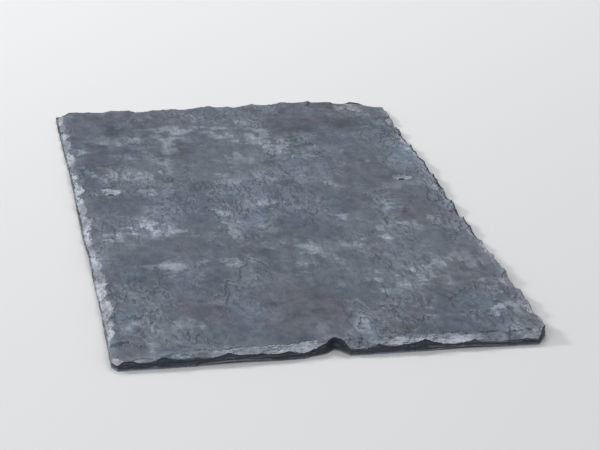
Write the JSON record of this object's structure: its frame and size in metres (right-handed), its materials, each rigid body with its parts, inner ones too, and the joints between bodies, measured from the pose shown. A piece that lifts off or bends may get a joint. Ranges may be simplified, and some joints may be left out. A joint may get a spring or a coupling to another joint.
{
  "type": "slate roof tile",
  "caption": "Rectangular roofing slate, split from natural stone, with a riven face, a chopped and flaked bevelled edge and punched nail holes.",
  "frame": {"origin": "middle of the slate's rectangle, on its bed, the flat face that it lies on", "axes": "+Z points out of the riven face that shows on a roof, +Y runs from the tail to the head, and +X is to the right as seen from the tail"},
  "size_m": [0.2794, 0.5588, 0.0101],
  "materials": {
    "slate_stone": "riven blue-grey slate, matt to satin, with paler freshly broken edges"
  },
  "bodies": {
    "root": {"slate": "slate_stone"}
  },
  "joints": []
}
